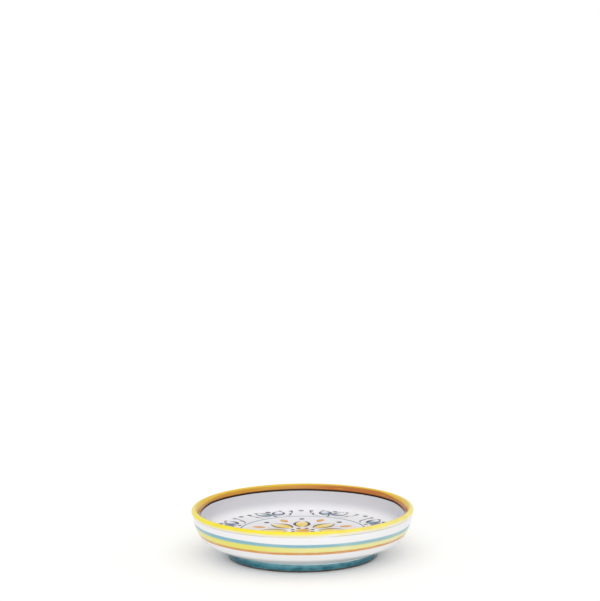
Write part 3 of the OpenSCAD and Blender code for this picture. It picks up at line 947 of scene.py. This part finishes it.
class COASTER_OT_wreath(CoasterOperator):
    """Paint the wreath of leaf sprays and the rosette inside it"""
    bl_idname = "coaster.wreath"
    bl_label = "Wreath and rosette"

    def execute(self, context):
        sizes, paint, colours = self.settings(context)
        floor = sizes.floor_height
        tip = Section(sizes).at(0)[0] - paint.margin
        ring = tip - paint.wreath
        step = math.tau / paint.sprays
        berry_ring = tip - paint.berry / 2
        thin_relief = paint.relief * 0.5
        strokes = Brush("cobalt_brushwork", floor, paint.relief, 3)
        berries = Brush("cobalt_dots", floor, paint.relief, 5)
        teal = Brush("teal_leaf_washes", floor, thin_relief, 7)
        blue = Brush("blue_leaf_washes", floor, thin_relief, 9)
        petals = Brush("yellow_petal_washes", floor, thin_relief, 13)
        buds = Brush("orange_bud_washes", floor, thin_relief, 15)
        rng = random.Random(21)

        def outlined(brush, base, way, size, width):
            """One leaf or petal: a wash and the two strokes round it."""
            way = Vector(way).normalized()
            side = Vector((-way.y, way.x))
            slip = side * rng.uniform(-0.25, 0.25) * MM
            brush.lay(base + slip, base + way * size + slip, 0, width, wash, LEAF_CELLS)
            reach = way * 0.8 * MM
            gap = side * 0.3 * MM
            bow = width / 2 + 0.35 * MM
            for sign in (-1, 1):
                begin = base - reach + gap * sign
                end = base + way * size + reach * rng.uniform(0.6, 1.3) + gap * sign
                strokes.lay(begin, end, sign * bow * rng.uniform(0.93, 1.07), paint.stroke, comma)

        for i in range(paint.sprays):
            middle = (i + 0.5) * step + rng.uniform(-0.02, 0.02)
            between = i * step + rng.uniform(-0.02, 0.02)
            # The knot, the stem and the berry past its end
            knot = polar(ring + paint.knot, middle)
            berries.dot(knot, paint.knot)
            stem_start = polar(ring + 1.4 * paint.knot, middle)
            stem_end = polar(tip - paint.berry * 1.2, middle + 0.01)
            strokes.lay(stem_start, stem_end, 0.7 * MM, paint.stroke * 0.8, comma)
            berries.dot(polar(berry_ring, middle), paint.berry * rng.uniform(0.85, 1.1))
            # A leaf to each side with a berry at its tip, and a tendril under it
            for sign, brush in ((1, teal), (-1, blue)):
                way = polar(1, middle + sign * paint.leaf_turn)
                outlined(brush, knot + way * 3 * MM, way, paint.leaf_length, paint.leaf_width)
                berries.dot(knot + way * (paint.leaf_length + 3.4 * MM), paint.berry * 0.65)
                strokes.lay(polar(ring + 8 * MM, middle + sign * 0.32 * step),
                            polar(ring + 1.5 * MM, middle + sign * 0.15 * step),
                            -sign * 1.7 * MM, paint.stroke * 0.9, tendril)
            # Between two sprays, a berry and two tendrils that end in a dot
            berries.dot(polar(berry_ring, between), paint.berry * rng.uniform(0.85, 1.1))
            for sign in (-1, 1):
                lean = between + sign * step * 0.15
                end = polar(tip - paint.berry * 0.6, lean)
                root = polar(tip - paint.berry - 6 * MM, lean + sign * 0.03 * step)
                strokes.lay(end, root, sign * 0.6 * MM, paint.stroke * 0.8, tendril)
                berries.dot(end, paint.berry * rng.uniform(0.7, 0.9))
            # The rosette inside the ring line
            petal = polar(ring * 0.25, between)
            outlined(petals, petal, polar(1, between), ring * 0.42, ring * 0.2)
            bud, bud_tip = polar(ring * 0.62, middle), polar(ring * 0.85, middle)
            buds.lay(bud, bud_tip, 0, ring * 0.11, wash, DAB_CELLS)
            berries.dot(polar(ring * 0.8, between), paint.berry)
            berries.dot(polar(ring * 0.165, middle), paint.berry * 0.8)
        buds.dot((0, 0), ring * 0.23)
        cobalt = brush_colour("cobalt brushwork", colours.cobalt, colours.cobalt_thin)
        strokes.lift_off(cobalt, "cobalt", "cobalt_strokes")
        berries.lift_off(cobalt, "cobalt", "cobalt_berries")
        pale = shade(colours.white, 0.45, 0.5)
        teal_wash = brush_colour("teal wash", colours.leaf_teal, pale, (0.2, 0.9), 0.9)
        teal.lift_off(teal_wash, "pale_teal", "teal_leaves")
        blue_wash = brush_colour("blue wash", colours.leaf_blue, pale, (0.1, 0.75), 1.0)
        blue.lift_off(blue_wash, "pale_blue", "blue_leaves")
        yellow_wash = brush_colour("yellow wash", colours.petal, pale)
        petals.lift_off(yellow_wash, "yellow", "yellow_petals")
        orange_wash = brush_colour("orange wash", colours.bud, colours.petal)
        buds.lift_off(orange_wash, "orange", "orange_buds")
        inner, sunk, edge = ring - paint.ring_line, floor - 0.1 * MM, floor + 0.01 * MM
        crown = (ring - paint.ring_line / 2, floor + paint.relief)
        line = [(inner, sunk), (inner, edge), crown, (ring, edge), (ring, sunk)]
        ring_line = turn("teal_ring", line)
        teal_line = brush_colour("teal ring line", colours.teal_deep, colours.teal)
        seat(ring_line, teal_line, "teal", "teal_ring_line")
        return {"FINISHED"}


class COASTER_OT_stage(CoasterOperator):
    """Set the pale floor, the soft lamps and the camera"""
    bl_idname = "coaster.stage"
    bl_label = "Stage"

    def execute(self, context):
        stage = context.scene.coaster_stage
        self.floor(stage)
        self.world(context, stage)
        # Name, strength, spread in degrees and place in metres
        lamps = (
            ("key_light", stage.key, 70, (0.04, -0.1, 1.1)),
            ("front_light", stage.fill, 60, (0.0, -1.2, 0.72)),
            ("low_light", stage.low_fill, 40, (0.0, -1.2, 0.25)),
        )
        for name, strength, spread, place in lamps:
            self.lamp(name, strength, math.radians(spread), place)
        self.camera(context, stage)
        context.scene.view_settings.view_transform = "Standard"
        return {"FINISHED"}

    def by_view(self, tree, socket, to_dish, to_camera):
        """Gives a socket one value towards the dish and another towards the camera."""
        path = tree.nodes.new("ShaderNodeLightPath")
        level = tree.nodes.new("ShaderNodeMapRange")
        level.inputs["To Min"].default_value = to_dish
        level.inputs["To Max"].default_value = to_camera
        tree.links.new(path.outputs["Is Camera Ray"], level.inputs["Value"])
        tree.links.new(level.outputs["Result"], socket)

    def floor(self, stage):
        """A pale floor, which the camera sees white and without its glow."""
        bpy.ops.mesh.primitive_plane_add(size=FLOOR_SIZE)
        floor = bpy.context.object
        floor.name = "studio_floor"
        matt = Glaze("pale studio floor", 0.9)
        inputs = matt.shader.inputs
        inputs["Specular IOR Level"].default_value = 0.0
        inputs["Emission Color"].default_value = ROOM_TINT
        self.by_view(matt.tree, inputs["Base Color"], FLOOR_WHITE, 1.0)
        self.by_view(matt.tree, inputs["Emission Strength"], stage.floor_glow, 0.0)
        cover(floor, matt.material)

    def world(self, context, stage):
        """Light from all round, which the camera sees white."""
        world = bpy.data.worlds.new("studio")
        world.use_nodes = True
        context.scene.world = world
        background = world.node_tree.nodes["Background"]
        background.inputs["Color"].default_value = ROOM_TINT
        self.by_view(world.node_tree, background.inputs["Strength"], stage.ambient, 1.0)

    def lamp(self, name, strength, spread, place):
        """A wide soft lamp that shines from a place towards the dish."""
        data = bpy.data.lights.new(name, "SUN")
        data.energy = strength
        data.angle = spread
        lamp = bpy.data.objects.new(name, data)
        lamp.location = place
        lamp.rotation_euler = (-Vector(place)).to_track_quat("-Z", "Y").to_euler()
        bpy.context.scene.collection.objects.link(lamp)

    def camera(self, context, stage):
        """The camera of the photo, with the foot of the dish on its pixel."""
        data = bpy.data.cameras.new("camera")
        data.sensor_width = SENSOR
        data.lens = stage.focal_px * SENSOR / max(stage.picture_px)
        data.clip_end = 2 * FLOOR_SIZE
        camera = bpy.data.objects.new("camera", data)
        context.scene.collection.objects.link(camera)
        back = Vector((0, -math.cos(stage.elevation), math.sin(stage.elevation)))
        right = Vector((1, 0, 0))
        up = right.cross(-back)
        # Axes of the picture, right, down and into the scene, then turned so that the
        # foot lands on its pixel
        base = Matrix((right, -up, -back))
        foot = Vector((
            stage.foot_px[0] - stage.picture_px[0] / 2,
            stage.foot_px[1] - stage.picture_px[1] / 2,
            stage.focal_px))
        tilt = Vector((0, 0, 1)).rotation_difference(foot).to_matrix()
        roll = Matrix.Rotation(stage.roll, 3, "Z")
        flip = Matrix.Diagonal((1, -1, -1))
        axes = (flip @ tilt @ roll @ base).transposed()
        camera.matrix_world = Matrix.Translation(back * stage.distance) @ axes.to_4x4()
        context.scene.camera = camera


class COASTER_PT_panel(bpy.types.Panel):
    """Buttons and settings of the coaster"""
    bl_label = "Bottle Coaster"
    bl_idname = "COASTER_PT_panel"
    bl_space_type = "VIEW_3D"
    bl_region_type = "UI"
    bl_category = "Coaster"

    def draw(self, context):
        layout = self.layout
        for operator in OPERATORS:
            layout.operator(operator.bl_idname)
        for group in GROUPS:
            settings = getattr(context.scene, group)
            box = layout.box()
            for name in settings.bl_rna.properties.keys():
                if name not in ("rna_type", "name"):
                    box.prop(settings, name)


GROUPS = {
    "coaster_sizes": CoasterSizes, "coaster_paint": CoasterPaint,
    "coaster_colours": CoasterColours, "coaster_stage": CoasterStage,
}
OPERATORS = (
    COASTER_OT_clay, COASTER_OT_inside, COASTER_OT_rim, COASTER_OT_bands,
    COASTER_OT_foot, COASTER_OT_wreath, COASTER_OT_stage,
)


def register():
    for item in (*GROUPS.values(), *OPERATORS, COASTER_PT_panel):
        bpy.utils.register_class(item)
    for name, group in GROUPS.items():
        setattr(bpy.types.Scene, name, bpy.props.PointerProperty(type=group))


def unregister():
    for name in GROUPS:
        delattr(bpy.types.Scene, name)
    for item in reversed((*GROUPS.values(), *OPERATORS, COASTER_PT_panel)):
        bpy.utils.unregister_class(item)


def main():
    register()
    throwing_lattice(bpy.context.scene.coaster_sizes)
    bpy.ops.coaster.clay()
    bpy.ops.coaster.inside()
    bpy.ops.coaster.rim()
    bpy.ops.coaster.bands()
    bpy.ops.coaster.foot()
    bpy.ops.coaster.wreath()
    bpy.ops.coaster.stage()
    bpy.data.objects.remove(bpy.data.objects["throwing_cage"])


if __name__ == "__main__":
    main()
